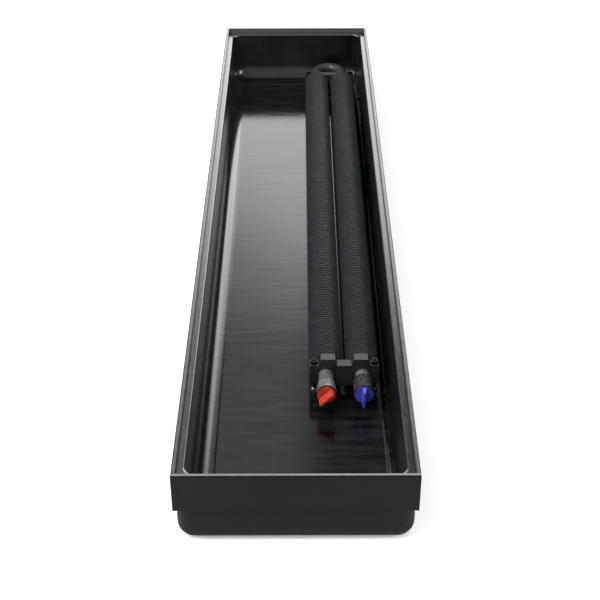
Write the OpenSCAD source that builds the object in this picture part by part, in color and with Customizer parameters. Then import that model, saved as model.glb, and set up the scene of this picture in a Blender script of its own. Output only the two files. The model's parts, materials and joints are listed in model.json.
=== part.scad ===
// Trench convector heater: a drawn tray in an insulating shell, framed by flat bars,
// with a finned two-tube exchanger standing in it on four levelling screws.
// X is the width, Y the length (the connections are at the -Y end), Z is up, origin under the middle.

/* [Trough] */
// Outside length over the frame
trough_l = 1250; // [1250:10:3000]
// Outside width over the frame
trough_w = 260; // [256:1:400]
// Height from the underside to the frame's top edge
trough_h = 94; // [88:1:120]
// Depth of the grille seat below the frame's top edge
seat_depth = 8; // [6:1:10]
// Width of the grille seat round the opening
seat_w = 9; // [6:0.5:11]
// Radius of the opening's corners, seen from above
opening_r = 14; // [14:0.5:18]
// Radius between the tray's walls and its floor
cove_r = 12; // [8:0.5:12]
// How far the tray's walls lean out, in degrees
draft = 0.8; // [0:0.1:1]
// Thickness of the tray's sheet
sheet_t = 1.5; // [1:0.1:2]
// Thickness of the shell under the tray
shell_floor_t = 2; // [2:0.5:3]
// Step between the frame's face and the shell below it
shell_inset = 2; // [1:0.5:3]
// Radius of the shell's corners, seen from above
shell_corner_r = 20; // [18:1:24]
// Radius of the shell's lower edge
shell_edge_r = 15; // [10:1:15]

/* [Frame] */
// Thickness of the frame bars
bar_t = 4.5; // [4:0.5:6]
// Height of the frame bars
bar_h = 48; // [46:1:60]
// Height of the end bars' top lap, which runs over the side bars' ends
lap_h = 3.5; // [3:0.5:6]
// Bevel along the frame's outer top edge
bar_bevel = 1.2; // [0.5:0.1:1.5]
// Leg of the corner cleats
cleat_leg = 14; // [12:1:14]
// Thickness of the corner cleats
cleat_t = 2; // [1.5:0.5:2]
// Height of the corner cleats
cleat_h = 32; // [24:1:32]

/* [Exchanger] */
// Distance of the exchanger's middle from the tray's centre line
tube_mid_x = 59.2; // [55:0.1:61]
// Distance between the two tubes' axes
tube_pitch = 45; // [44:0.5:46]
// Height of the tubes' axes above the tray's floor
axis_above_floor = 28.3; // [26:0.1:32]
// Outside diameter of the pipes
pipe_d = 18; // [16:1:18]
// Wall thickness of the pipes
pipe_wall = 1; // [0.8:0.1:1.5]
// Diameter of the fins
fin_d = 41; // [36:1:42]
// Number of fins on each tube
fin_count = 204; // [60:1:240]
// Thickness of a fin
fin_t = 0.5; // [0.4:0.1:0.8]
// Near end of the fins
fins_near_y = -354; // [-360:1:-300]
// Far end of the fins
fins_far_y = 516; // [400:1:520]
// Length of the connection sockets
socket_l = 24; // [20:1:30]
// Outside diameter of the connection sockets
socket_d = 24; // [24:0.5:28]
// Length of bare pipe between the front bracket and a socket
pipe_bare_l = 12; // [8:1:20]

/* [Brackets] */
// Thickness of a bracket along the tubes
bracket_t = 13; // [10:1:16]
// Half the bracket's width over its ears
ear_reach = 43; // [42:1:44]
// Distance of a levelling screw from the exchanger's middle
screw_reach = 37.3; // [36.5:0.1:38]
// Thread diameter of the levelling screws
screw_d = 5; // [4:1:5]
// Diameter of the foot pads
pad_d = 9; // [8:1:12]
// Thickness of the foot pads
pad_t = 2; // [2:0.5:4]

/* [Plugs] */
// Diameter of a plug's flange
plug_d = 23.5; // [22:0.5:23.5]
// Thickness of a plug's flange
plug_flange_t = 3.5; // [2:0.5:6]
// How far a plug's wing stands out from its flange
wing_out = 11; // [5:0.5:12]
// Turn of the supply plug's wing from upright, in degrees
supply_wing_turn = 44; // [0:1:90]
// Turn of the return plug's wing from upright, in degrees
return_wing_turn = 2; // [-90:1:90]

/* [Hidden] */
$fn = 72;
eps = 0.01;
// How far a cut runs past the face it opens, and a block into the one it joins
over = 1;

// Heights of the trough
floor_z = shell_floor_t + sheet_t;
seat_z = trough_h - seat_depth;
bar_z = trough_h - bar_h;
// Half sizes, across and along
outer_half = [trough_w / 2, trough_l / 2];
bar_inner = [outer_half[0] - bar_t, outer_half[1] - bar_t];
opening_half = [bar_inner[0] - seat_w, bar_inner[1] - seat_w];
tray_back = [opening_half[0] + sheet_t, opening_half[1] + sheet_t];
shell_half = [outer_half[0] - shell_inset, outer_half[1] - shell_inset];
// Gap between the frame bars and what stands inside them
fit_gap = 0.2;
// Radius of the shell's corners behind the frame, which leaves room for the cleats
shell_upper_r = 25;

// Heights and places of the exchanger
axis_z = floor_z + axis_above_floor;
supply_x = tube_mid_x - tube_pitch / 2;
return_x = tube_mid_x + tube_pitch / 2;
fin_sleeve_t = 0.7;
fin_root_d = pipe_d + 2 * fin_sleeve_t;
fin_step = (fins_far_y - fins_near_y - fin_t) / (fin_count - 1);
bracket_gap = 2;
front_bracket_y = fins_near_y - bracket_gap - bracket_t;
rear_bracket_y = fins_far_y + bracket_gap;
// Straight pipe between the rear bracket and the return bend
bend_leg = 28.5;
bend_y = rear_bracket_y + bracket_t + bend_leg;
socket_near_y = front_bracket_y - pipe_bare_l - socket_l;
socket_bore_d = 20.6;
socket_bore_l = 14;
pipe_near_y = socket_near_y + socket_bore_l;
bush_t = 1.5;
bush_d = pipe_d + 2 * bush_t;

// Bracket outline, measured from the tubes' axes
lobe_top = 23;
lobe_in = 11;
lobe_out = 29.5;
lobe_flank = 2;
web_top = 13.7;
bracket_low = 16.3;
ear_low = 13;
edge_cut = 1.5;

// Levelling screws, their inserts and pads
run_gap = 0.05;
screw_clear_d = screw_d + 0.6;
screw_head_d = 8.5;
screw_head_h = 4.2;
hex_key = 4;
hex_deep = 2.5;
ear_top_z = axis_z + web_top;
insert_d = 7.4;
insert_l = 10;
tip_d = 3;
tip_l = 1;

// Plugs and their seals
seal_t = 1;
seal_d = plug_d - 0.8;
plug_stem_l = 9;
wing_base_t = 4.6;
wing_edge_t = 2.6;
wing_half = plug_d / 2 - 0.4;
stem_wall = 2;

// Cleat screws
cleat_screw_d = 3;
cleat_shank_d = 2.9;
cleat_clear_d = 3.2;
cleat_hole_deep = 3.5;
cleat_head_d = 5.6;
cleat_head_h = 1.8;
cleat_screw_deep = 3.4;
cleat_screw_s = 7.5;
cleat_rise = 4;
cleat_z = bar_z + cleat_rise;
cleat_screw_end = 8;
cleat_screw_z = [cleat_z + cleat_screw_end, cleat_z + cleat_h - cleat_screw_end];

// ---------- shapes that repeat ----------

// Half section of a tub: a floor at z0, an edge of radius r and a wall that leans out by lean
// degrees to top_r at zt. The section's x is measured from the axis of the tub's corner.
module tub_section(top_r, r, z0, zt, lean) {
    touch_z = z0 + r - r * sin(lean);
    touch_x = top_r - (zt - touch_z) * tan(lean);
    centre_x = touch_x - r * cos(lean);
    union() {
        polygon([[0, z0], [centre_x, z0], [touch_x, touch_z], [top_r, zt], [0, zt]]);
        intersection() {
            translate([centre_x, z0 + r]) circle(r = r);
            translate([centre_x, z0]) square([r, touch_z - z0]);
        }
    }
}

// Solid tub with rounded corners, whose half sizes at the top are half
module tub(half, top_r, r, z0, zt, lean) {
    cx = half[0] - top_r;
    cy = half[1] - top_r;
    translate([-cx, -cy, z0]) cube([2 * cx, 2 * cy, zt - z0]);
    for (q = [[cx, cy, 0], [-cx, cy, 90], [-cx, -cy, 180], [cx, -cy, 270]])
        translate([q[0], q[1], 0]) rotate([0, 0, q[2]])
            rotate_extrude(angle = 90) tub_section(top_r, r, z0, zt, lean);
    for (s = [0, 180]) {
        rotate([0, 0, s]) translate([cx, cy, 0]) rotate([90, 0, 0])
            linear_extrude(2 * cy) tub_section(top_r, r, z0, zt, lean);
        rotate([0, 0, s]) translate([-cx, cy, 0]) rotate([90, 0, 90])
            linear_extrude(2 * cx) tub_section(top_r, r, z0, zt, lean);
    }
}

// Upright block with rounded corners
module round_block(half, r, z0, zt) {
    translate([-half[0] + r, -half[1], z0]) cube([2 * (half[0] - r), 2 * half[1], zt - z0]);
    translate([-half[0], -half[1] + r, z0]) cube([2 * half[0], 2 * (half[1] - r), zt - z0]);
    for (sx = [-1, 1], sy = [-1, 1])
        translate([sx * (half[0] - r), sy * (half[1] - r), z0]) cylinder(r = r, h = zt - z0);
}

// Puts its children at the four inner corners of the frame, turned so that +X and +Y point inwards
module at_corners() {
    for (q = [[1, 1, 180], [-1, 1, 270], [-1, -1, 0], [1, -1, 90]])
        translate([q[0] * bar_inner[0], q[1] * bar_inner[1], 0]) rotate([0, 0, q[2]]) children();
}

// Places of the cleat screws in one corner: the axis runs from the cleat into a bar
module at_cleat_screws() {
    for (z = cleat_screw_z) {
        translate([cleat_screw_s, 0, z]) rotate([90, 0, 0]) children();
        translate([0, cleat_screw_s, z]) rotate([0, -90, 0]) children();
    }
}

// Blind holes for the cleat screws in the bars
module cleat_holes() {
    at_corners() at_cleat_screws()
        translate([0, 0, -eps]) cylinder(d = cleat_screw_d, h = cleat_hole_deep + eps);
}

// Cylinder along the tubes, from y0 to y1
module along(d, y0, y1) {
    translate([0, y1, 0]) rotate([90, 0, 0]) cylinder(d = d, h = y1 - y0);
}

// Puts its children on a tube's axis
module at_tube(x) {
    translate([x, 0, axis_z]) children();
}

// Puts its children on the axis of a levelling screw: sx is the side, y the bracket
module at_ear(sx, y) {
    translate([tube_mid_x + sx * screw_reach, y + bracket_t / 2, 0]) children();
}

// ---------- trough ----------

module tray() {
    color("#1b1b1d") difference() {
        union() {
            tub(tray_back, opening_r + sheet_t, cove_r + sheet_t, shell_floor_t, seat_z, draft);
            translate([-bar_inner[0] + fit_gap, -bar_inner[1] + fit_gap, seat_z - sheet_t])
                cube([2 * (bar_inner[0] - fit_gap), 2 * (bar_inner[1] - fit_gap), sheet_t]);
        }
        tub(opening_half, opening_r, cove_r, floor_z, seat_z + eps, draft);
    }
}

module insulating_shell() {
    back_gap = [tray_back[0] + fit_gap, tray_back[1] + fit_gap];
    upper_half = [bar_inner[0] - fit_gap, bar_inner[1] - fit_gap];
    color("#232325") difference() {
        union() {
            tub(shell_half, shell_corner_r, shell_edge_r, 0, bar_z, 0);
            round_block(upper_half, shell_upper_r, bar_z - over, seat_z - sheet_t);
        }
        tub(back_gap, opening_r + sheet_t + fit_gap, cove_r + sheet_t, shell_floor_t, seat_z, 0);
    }
}

// Section of a bar: x runs from the inner face to the bevelled outer face
module bar_section(z0, z1, bevel) {
    polygon([[0, z0], [bar_t, z0], [bar_t, z1 - bevel], [bar_t - bevel, z1], [0, z1]]);
}

// A side bar on the +X side: full length, but under the end bars' lap at its two ends
module side_bar() {
    difference() {
        union() {
            translate([bar_inner[0], outer_half[1], 0]) rotate([90, 0, 0])
                linear_extrude(trough_l) bar_section(bar_z, trough_h - lap_h, 0);
            translate([bar_inner[0], bar_inner[1], 0]) rotate([90, 0, 0])
                linear_extrude(2 * bar_inner[1]) bar_section(trough_h - lap_h, trough_h, bar_bevel);
        }
        cleat_holes();
    }
}

// An end bar on the +Y side: its lap is as wide as the trough
module end_bar() {
    difference() {
        union() {
            translate([-bar_inner[0], bar_inner[1], bar_z])
                cube([2 * bar_inner[0], bar_t, bar_h - lap_h]);
            translate([-outer_half[0], bar_inner[1], 0]) rotate([90, 0, 90])
                linear_extrude(trough_w) bar_section(trough_h - lap_h, trough_h, bar_bevel);
        }
        cleat_holes();
    }
}

module frame_bar_right() {
    color("#2a2a2c") side_bar();
}

module frame_bar_left() {
    color("#2a2a2c") rotate([0, 0, 180]) side_bar();
}

module frame_bar_rear() {
    color("#2a2a2c") end_bar();
}

module frame_bar_front() {
    color("#2a2a2c") rotate([0, 0, 180]) end_bar();
}

module corner_cleats() {
    color("#8d9094") at_corners() difference() {
        union() {
            translate([0, 0, cleat_z]) cube([cleat_leg, cleat_t, cleat_h]);
            translate([0, 0, cleat_z]) cube([cleat_t, cleat_leg, cleat_h]);
        }
        at_cleat_screws()
            translate([0, 0, -cleat_t - eps]) cylinder(d = cleat_clear_d, h = cleat_t + 2 * eps);
    }
}

module cleat_screws() {
    color("#b9bcc0") at_corners() at_cleat_screws() {
        translate([0, 0, -cleat_t - cleat_head_h]) cylinder(d = cleat_head_d, h = cleat_head_h);
        translate([0, 0, -cleat_t]) cylinder(d = cleat_shank_d, h = cleat_t + cleat_screw_deep);
    }
}

// ---------- exchanger ----------

module pipe(x) {
    color("#4a4a4c") at_tube(x) difference() {
        along(pipe_d, pipe_near_y, bend_y);
        along(pipe_d - 2 * pipe_wall, pipe_near_y - over, bend_y + over);
    }
}

module return_bend() {
    color("#3a3a3c") translate([tube_mid_x, bend_y, axis_z]) rotate_extrude(angle = 180)
        translate([tube_pitch / 2, 0]) difference() {
            circle(d = pipe_d);
            circle(d = pipe_d - 2 * pipe_wall);
        }
}

// Outline of a finned sleeve, whose first and last fins lie at its two ends
function fin_outline() = concat(
    [[pipe_d / 2, 0]],
    [for (i = [0:fin_count - 1], k = [0:3])
        [k == 0 || k == 3 ? fin_root_d / 2 : fin_d / 2, i * fin_step + (k > 1 ? fin_t : 0)]],
    [[pipe_d / 2, fins_far_y - fins_near_y]]
);

module finned_sleeve(x) {
    color("#2b2c2e") at_tube(x) translate([0, fins_far_y, 0]) rotate([90, 0, 0])
        rotate_extrude() polygon(fin_outline());
}

module socket(x) {
    color("#6c6a66") at_tube(x) difference() {
        along(socket_d, socket_near_y, socket_near_y + socket_l);
        along(socket_bore_d, socket_near_y - over, pipe_near_y);
        along(pipe_d, pipe_near_y - over, socket_near_y + socket_l + over);
    }
}

// One half of the bracket's ear and belly, from the web's top outwards
bracket_half = [
    [ear_reach - edge_cut, web_top], [ear_reach, web_top - edge_cut], [ear_reach, edge_cut - ear_low],
    [ear_reach - edge_cut, -ear_low], [lobe_out + lobe_flank, -ear_low], [lobe_out, -bracket_low]
];
// The near bracket has a hump over each tube
hump = [
    [lobe_in - lobe_flank, web_top], [lobe_in, lobe_top],
    [lobe_out, lobe_top], [lobe_out + lobe_flank, web_top]
];

// An outline and its mirror image, taken backwards
function both_sides(half) =
    concat(half, [for (i = [len(half) - 1:-1:0]) [-half[i][0], half[i][1]]]);

module bracket(y, humps) {
    color("#1e1f20") difference() {
        translate([tube_mid_x, y + bracket_t, axis_z]) rotate([90, 0, 0])
            linear_extrude(bracket_t) polygon(both_sides(humps ? concat(hump, bracket_half) : bracket_half));
        for (x = [supply_x, return_x]) at_tube(x) along(bush_d, y - over, y + bracket_t + over);
        for (s = [-1, 1]) at_ear(s, y) {
            translate([0, 0, ear_top_z - insert_l]) cylinder(d = insert_d, h = insert_l + over);
            cylinder(d = screw_clear_d, h = ear_top_z);
        }
    }
}

module pipe_bushes() {
    color("#3b3b3d") for (x = [supply_x, return_x], y = [front_bracket_y, rear_bracket_y])
        at_tube(x) difference() {
            along(bush_d, y, y + bracket_t);
            along(pipe_d, y - over, y + bracket_t + over);
        }
}

module ear_inserts() {
    color("#b08d4a") for (s = [-1, 1], y = [front_bracket_y, rear_bracket_y])
        at_ear(s, y) translate([0, 0, ear_top_z - insert_l]) difference() {
            cylinder(d = insert_d, h = insert_l);
            translate([0, 0, -over]) cylinder(d = screw_d + 2 * run_gap, h = insert_l + 2 * over);
        }
}

// ---------- plugs ----------

module seal(x) {
    color("#101010") at_tube(x) difference() {
        along(seal_d, socket_near_y - seal_t, socket_near_y);
        along(socket_bore_d, socket_near_y - seal_t - over, socket_near_y + over);
    }
}

// A plug: a hollow threaded stem, a flange and a wing that is turned from upright
module plug(x, turn) {
    flange_y = socket_near_y - seal_t - plug_flange_t;
    stem_d = socket_bore_d - 2 * run_gap;
    at_tube(x) {
        along(plug_d, flange_y, flange_y + plug_flange_t);
        difference() {
            along(stem_d, flange_y + plug_flange_t - eps, flange_y + plug_flange_t + plug_stem_l);
            along(stem_d - 2 * stem_wall, flange_y + plug_flange_t, flange_y + plug_flange_t + plug_stem_l + over);
        }
        rotate([0, turn, 0]) translate([0, 0, -wing_half]) linear_extrude(2 * wing_half)
            polygon([
                [-wing_base_t / 2, flange_y + eps], [-wing_edge_t / 2, flange_y - wing_out],
                [wing_edge_t / 2, flange_y - wing_out], [wing_base_t / 2, flange_y + eps]
            ]);
    }
}

// ---------- levelling feet ----------

module foot_pad(sx, y) {
    color("#141414") at_ear(sx, y) translate([0, 0, floor_z]) difference() {
        cylinder(d = pad_d, h = pad_t);
        translate([0, 0, pad_t - tip_l]) cylinder(d = tip_d + 2 * run_gap, h = tip_l + over);
    }
}

module levelling_screw(sx, y) {
    tip_z = floor_z + pad_t - tip_l;
    color("#c4c7ca") at_ear(sx, y) difference() {
        union() {
            translate([0, 0, ear_top_z]) cylinder(d = screw_head_d, h = screw_head_h);
            translate([0, 0, tip_z + tip_l]) cylinder(d = screw_d, h = ear_top_z - tip_z - tip_l + eps);
            translate([0, 0, tip_z]) cylinder(d = tip_d, h = tip_l + eps);
        }
        translate([0, 0, ear_top_z + screw_head_h - hex_deep])
            cylinder(d = hex_key / cos(30), h = hex_deep + over, $fn = 6);
    }
}

tray();
insulating_shell();
frame_bar_left();
frame_bar_right();
frame_bar_front();
frame_bar_rear();
corner_cleats();
cleat_screws();
pipe(supply_x);  // supply_pipe
pipe(return_x);  // return_pipe
return_bend();
finned_sleeve(supply_x);  // supply_fins
finned_sleeve(return_x);  // return_fins
socket(supply_x);  // supply_socket
socket(return_x);  // return_socket
bracket(front_bracket_y, true);  // front_bracket
bracket(rear_bracket_y, false);  // rear_bracket
pipe_bushes();
ear_inserts();
seal(supply_x);  // supply_seal
color("#d8402c") plug(supply_x, supply_wing_turn);  // supply_plug
seal(return_x);  // return_seal
color("#3a3fae") plug(return_x, return_wing_turn);  // return_plug
foot_pad(-1, front_bracket_y);  // front_left_pad
levelling_screw(-1, front_bracket_y);  // front_left_screw
foot_pad(1, front_bracket_y);  // front_right_pad
levelling_screw(1, front_bracket_y);  // front_right_screw
foot_pad(-1, rear_bracket_y);  // rear_left_pad
levelling_screw(-1, rear_bracket_y);  // rear_left_screw
foot_pad(1, rear_bracket_y);  // rear_right_pad
levelling_screw(1, rear_bracket_y);  // rear_right_screw
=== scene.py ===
# %% [markdown]
# # A trench convector heater
# This heater lies in a channel in the floor: a long black trough with a flat frame round its
# edge, and in it two finned tubes that warm the rising air. A grille would lie on the seat
# inside the frame. The lesson builds each piece with the tools that one would use by hand.
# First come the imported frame, whose nodes give every place, and an empty scene.

# %% The frame
import json
import math
import bmesh
import bpy
from mathutils import Matrix, Vector

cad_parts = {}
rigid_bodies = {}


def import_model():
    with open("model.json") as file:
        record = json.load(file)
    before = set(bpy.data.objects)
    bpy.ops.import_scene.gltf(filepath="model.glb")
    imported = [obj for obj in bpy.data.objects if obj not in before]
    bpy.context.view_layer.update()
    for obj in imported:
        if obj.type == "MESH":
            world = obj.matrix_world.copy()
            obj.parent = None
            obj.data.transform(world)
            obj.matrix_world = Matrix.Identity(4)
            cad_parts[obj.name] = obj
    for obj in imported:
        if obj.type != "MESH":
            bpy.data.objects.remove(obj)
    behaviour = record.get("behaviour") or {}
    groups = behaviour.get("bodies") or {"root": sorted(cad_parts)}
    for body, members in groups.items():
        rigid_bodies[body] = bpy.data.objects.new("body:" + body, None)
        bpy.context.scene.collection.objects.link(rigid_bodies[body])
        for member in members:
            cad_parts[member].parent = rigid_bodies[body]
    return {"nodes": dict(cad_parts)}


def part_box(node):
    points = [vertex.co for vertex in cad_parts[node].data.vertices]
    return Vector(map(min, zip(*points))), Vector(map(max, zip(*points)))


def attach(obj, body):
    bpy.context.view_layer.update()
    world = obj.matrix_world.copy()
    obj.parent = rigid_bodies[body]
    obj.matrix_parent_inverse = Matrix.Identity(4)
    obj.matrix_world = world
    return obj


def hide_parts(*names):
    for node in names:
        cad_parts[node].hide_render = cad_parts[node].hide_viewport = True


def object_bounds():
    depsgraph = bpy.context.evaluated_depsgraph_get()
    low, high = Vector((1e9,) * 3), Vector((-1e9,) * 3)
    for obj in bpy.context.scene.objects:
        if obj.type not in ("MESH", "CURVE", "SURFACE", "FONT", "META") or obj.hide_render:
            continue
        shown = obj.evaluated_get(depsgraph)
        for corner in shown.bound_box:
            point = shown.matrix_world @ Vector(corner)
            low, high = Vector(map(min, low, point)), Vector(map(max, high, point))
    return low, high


for leftover in list(bpy.data.objects):
    bpy.data.objects.remove(leftover)
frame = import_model()
cad_box = [list(corner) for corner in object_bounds()]
print("nodes:", len(frame["nodes"]), "box:", cad_box)

# %% [markdown]
# ## Tools for modelling
# Sizes are written in millimetres, because that is how such a piece is drawn, and turned to
# metres as they are used. A piece starts as a primitive that is added at its size, its place
# goes into its mesh, and its faces and edges are picked in code by where they lie.

# %% Starting a piece
MM = 0.001
NEAR = 0.1  # a place this close to another, in millimetres, counts as the same


def start_editing(name):
    """Names the new primitive, puts its place in its mesh, and opens it with all selected."""
    piece = bpy.context.object
    piece.name = name
    piece.data.name = name
    bpy.ops.object.transform_apply(location=True, rotation=True, scale=True)
    bpy.ops.object.mode_set(mode="EDIT")
    bpy.ops.mesh.select_all(action="SELECT")
    return piece


def block(name, low, high):
    """A box between two corners, open for editing."""
    bpy.ops.object.select_all(action="DESELECT")
    bpy.ops.mesh.primitive_cube_add(
        size=1,
        location=[(a + b) / 2 * MM for a, b in zip(low, high)],
        scale=[(b - a) * MM for a, b in zip(low, high)])
    return start_editing(name)


def drum(name, centre, radius, length, axis="Y", sides=48):
    """A round bar with its middle at centre, along Y or Z, open for editing."""
    bpy.ops.object.select_all(action="DESELECT")
    bpy.ops.mesh.primitive_cylinder_add(
        vertices=sides, radius=radius * MM, depth=length * MM,
        location=[c * MM for c in centre],
        rotation=(math.pi / 2 if axis == "Y" else 0, 0, 0))
    return start_editing(name)


# %% Picking and shaping
def middle(item):
    """The middle of a face or an edge, in millimetres."""
    return sum((v.co for v in item.verts), Vector()) / len(item.verts) / MM


def runs_along(edge, axis):
    """Whether an edge runs along X (0), Y (1) or Z (2)."""
    return abs((edge.verts[1].co - edge.verts[0].co).normalized()[axis]) > 0.99


def pick(kind, test):
    """In edit mode, selects the faces, edges or vertices that pass a test."""
    bpy.ops.mesh.select_mode(type=kind)
    bpy.ops.mesh.select_all(action="DESELECT")
    mesh = bmesh.from_edit_mesh(bpy.context.object.data)
    mesh.normal_update()
    items = {"FACE": mesh.faces, "EDGE": mesh.edges, "VERT": mesh.verts}[kind]
    found = [item for item in items if test(item)]
    for item in found:
        item.select_set(True)
    mesh.select_flush_mode()
    bmesh.update_edit_mesh(bpy.context.object.data)
    return len(found)


def pull(x=0, y=0, z=0):
    """Extrudes what is selected by so many millimetres."""
    bpy.ops.mesh.extrude_region_move(
        TRANSFORM_OT_translate={"value": (x * MM, y * MM, z * MM)})


def stretch(factors, centre):
    """Scales what is selected about a point."""
    bpy.ops.transform.resize(value=factors, center_override=[c * MM for c in centre])


def round_edges(radius, segments):
    """Bevels the selected edges."""
    bpy.ops.mesh.bevel(offset_type="OFFSET", offset=radius * MM, segments=segments,
                       profile=0.5, affect="EDGES")


# %% Finishing a piece
def only(piece):
    """Makes a piece the only one selected."""
    bpy.ops.object.select_all(action="DESELECT")
    piece.select_set(True)
    bpy.context.view_layer.objects.active = piece


def select_open_edges():
    """In edit mode, selects the edges where a shape is still open."""
    bpy.ops.mesh.select_mode(type="EDGE")
    bpy.ops.mesh.select_all(action="DESELECT")
    bpy.ops.mesh.select_non_manifold()


def stop_editing(outwards=True):
    """Leaves edit mode, with the faces pointing out if the shape is closed."""
    bpy.ops.mesh.select_all(action="SELECT")
    if outwards:
        bpy.ops.mesh.normals_make_consistent(inside=False)
    bpy.ops.object.mode_set(mode="OBJECT")


def apply(piece, kind, **settings):
    """Adds a modifier with its settings and makes its result the mesh."""
    only(piece)
    modifier = piece.modifiers.new(kind.title(), kind)
    for name, value in settings.items():
        setattr(modifier, name, value)
    bpy.ops.object.modifier_apply(modifier=modifier.name)


def smooth(piece, angle=35, weighted=True):
    """Smooths the shading over gentle edges, and keeps large flat faces flat."""
    only(piece)
    bpy.ops.object.shade_smooth_by_angle(angle=math.radians(angle))
    if weighted:
        apply(piece, "WEIGHTED_NORMAL", keep_sharp=True)


def soften(piece, width=0.3, segments=2):
    """Takes the sharpness off every hard edge, as handling and coating do."""
    apply(piece, "BEVEL", width=width * MM, segments=segments, limit_method="ANGLE",
          angle_limit=math.radians(40), miter_outer="MITER_ARC")


def cut_with(piece, cutter):
    """Takes the cutter's space out of the piece, and the cutter away."""
    apply(piece, "BOOLEAN", operation="DIFFERENCE", solver="EXACT", object=cutter)
    bpy.data.objects.remove(cutter)


def add_to(piece, other):
    """Makes two overlapping shapes one skin, and takes the other away."""
    apply(piece, "BOOLEAN", operation="UNION", solver="EXACT", object=other)
    bpy.data.objects.remove(other)


def another(piece, name, move):
    """A copy with its own mesh, moved by so many millimetres."""
    only(piece)
    bpy.ops.object.duplicate()
    copy = bpy.context.object
    copy.name = name
    copy.data.name = name
    copy.location = [m * MM for m in move]
    bpy.ops.object.transform_apply(location=True, rotation=True, scale=True)
    return copy


# %% [markdown]
# ## Tools for materials
# Colours are given as the hex values that a picture shows, and one function turns them into
# the linear values that the shader needs. Every pattern reads Object coordinates, which are
# metres here, so a pattern's scale follows from its real size.

# %% Nodes and colours
def srgb(hex_code):
    """The linear colour of a hex value."""
    parts = [int(hex_code[i:i + 2], 16) / 255 for i in (1, 3, 5)]
    return (*(p / 12.92 if p <= 0.04045 else ((p + 0.055) / 1.055) ** 2.4 for p in parts), 1)


def add(material, kind, values=None, links=None, **settings):
    """Adds a node with its settings, its sockets' values and its links."""
    node = material.node_tree.nodes.new(kind)
    for name, value in settings.items():
        setattr(node, name, value)
    for name, value in (values or {}).items():
        node.inputs[name].default_value = value
    for name, source in (links or {}).items():
        material.node_tree.links.new(source, node.inputs[name])
    return node


def new_material(name, **shader):
    """A material with a Principled shader, its sockets' values, and Object coordinates."""
    material = bpy.data.materials.new(name)
    material.use_nodes = True
    material.node_tree.nodes.clear()
    surface = add(material, "ShaderNodeBsdfPrincipled", values=shader)
    add(material, "ShaderNodeOutputMaterial", links={"Surface": surface.outputs[0]})
    places = add(material, "ShaderNodeTexCoord").outputs["Object"]
    return material, surface, places


def noise(material, places, size_mm, detail=3.0, roughness=0.5, stretch_by=(1, 1, 1)):
    """Noise whose blotches are about size_mm across, or longer along a stretched axis."""
    scaled = add(material, "ShaderNodeMapping", links={"Vector": places},
                 values={"Scale": [1 / s for s in stretch_by]})
    return add(material, "ShaderNodeTexNoise", links={"Vector": scaled.outputs[0]},
               values={"Scale": 1 / (size_mm * MM), "Detail": detail,
                       "Roughness": roughness}).outputs["Fac"]


def blend_colours(material, factor, stops):
    """A colour ramp from a factor, with stops of place and hex colour."""
    ramp = add(material, "ShaderNodeValToRGB", links={"Fac": factor})
    ramp.color_ramp.elements[0].position = stops[0][0]
    ramp.color_ramp.elements[0].color = srgb(stops[0][1])
    ramp.color_ramp.elements[1].position = stops[-1][0]
    ramp.color_ramp.elements[1].color = srgb(stops[-1][1])
    for place, colour in stops[1:-1]:
        ramp.color_ramp.elements.new(place).color = srgb(colour)
    return ramp.outputs["Color"]


def spread(material, factor, low, high, start=0.3, end=0.7):
    """Turns a factor from start to end into a value from low to high."""
    return add(material, "ShaderNodeMapRange", links={"Value": factor},
               values={"From Min": start, "From Max": end, "To Min": low,
                       "To Max": high}).outputs["Result"]


def bump(material, surface, height, depth_mm, strength=1.0, under=None):
    """Raises the surface by depth_mm where the height is 1, over an earlier bump."""
    links = {"Height": height}
    if under is not None:
        links["Normal"] = under
    node = add(material, "ShaderNodeBump", links=links,
               values={"Strength": strength, "Distance": depth_mm * MM})
    material.node_tree.links.new(node.outputs[0], surface.inputs["Normal"])
    return node.outputs[0]


def join_socket(material, surface, socket, source):
    """Feeds one of the shader's sockets."""
    material.node_tree.links.new(source, surface.inputs[socket])


def dress(piece, material, body, node):
    """Gives a piece its material, its body and the node that it stands for."""
    piece.data.materials.clear()
    piece.data.materials.append(material)
    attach(piece, body)
    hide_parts(node)
    print(piece.name, "faces:", len(piece.data.polygons), "rides on:", body)


def count_nodes(material):
    """Says how many nodes a finish has."""
    print(material.name, "nodes:", len(material.node_tree.nodes))


# %% [markdown]
# ## Finishes
# Nearly everything here is black, so the finishes differ by their gloss and their grain: the
# tray mirrors its surroundings, the frame is satin, the shell under it is coarse and dull.
# Each could be a picture of the real surface, but nodes need no file, and their grain keeps its
# real size on every piece and from any distance.

# %% Glossy coated sheet: a drawn steel tray with a baked black coating
# A coat this smooth mirrors like dark glass; slow waves in the sheet break the mirror up, and
# streaks run across it, drawn coarser than the real ones so that they show. The walls were
# stretched in drawing, so they are rougher.
gloss_sheet, surface, places = new_material(
    "gloss_black_coated_sheet", **{"Base Color": srgb("#0f0f10"), "Roughness": 0.11})
blotches = noise(gloss_sheet, places, 34, detail=4, roughness=0.55)
height = add(gloss_sheet, "ShaderNodeSeparateXYZ", links={"Vector": places}).outputs["Z"]
just_over_floor, up_the_wall = 4.5 * MM, 22 * MM
drawn = add(gloss_sheet, "ShaderNodeMath", operation="ADD", links={
    0: spread(gloss_sheet, blotches, 0.1, 0.13),
    1: spread(gloss_sheet, height, 0, 0.2, just_over_floor, up_the_wall)})
join_socket(gloss_sheet, surface, "Roughness", drawn.outputs[0])
waves = noise(gloss_sheet, places, 70, detail=2)
under = bump(gloss_sheet, surface, waves, depth_mm=0.12, strength=0.5)
grain = noise(gloss_sheet, places, 9, detail=2)
under = bump(gloss_sheet, surface, grain, depth_mm=0.012, strength=0.4, under=under)
rolling = noise(gloss_sheet, places, 9, detail=3, stretch_by=(7, 1, 7))
bump(gloss_sheet, surface, rolling, depth_mm=0.12, strength=0.5, under=under)
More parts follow.
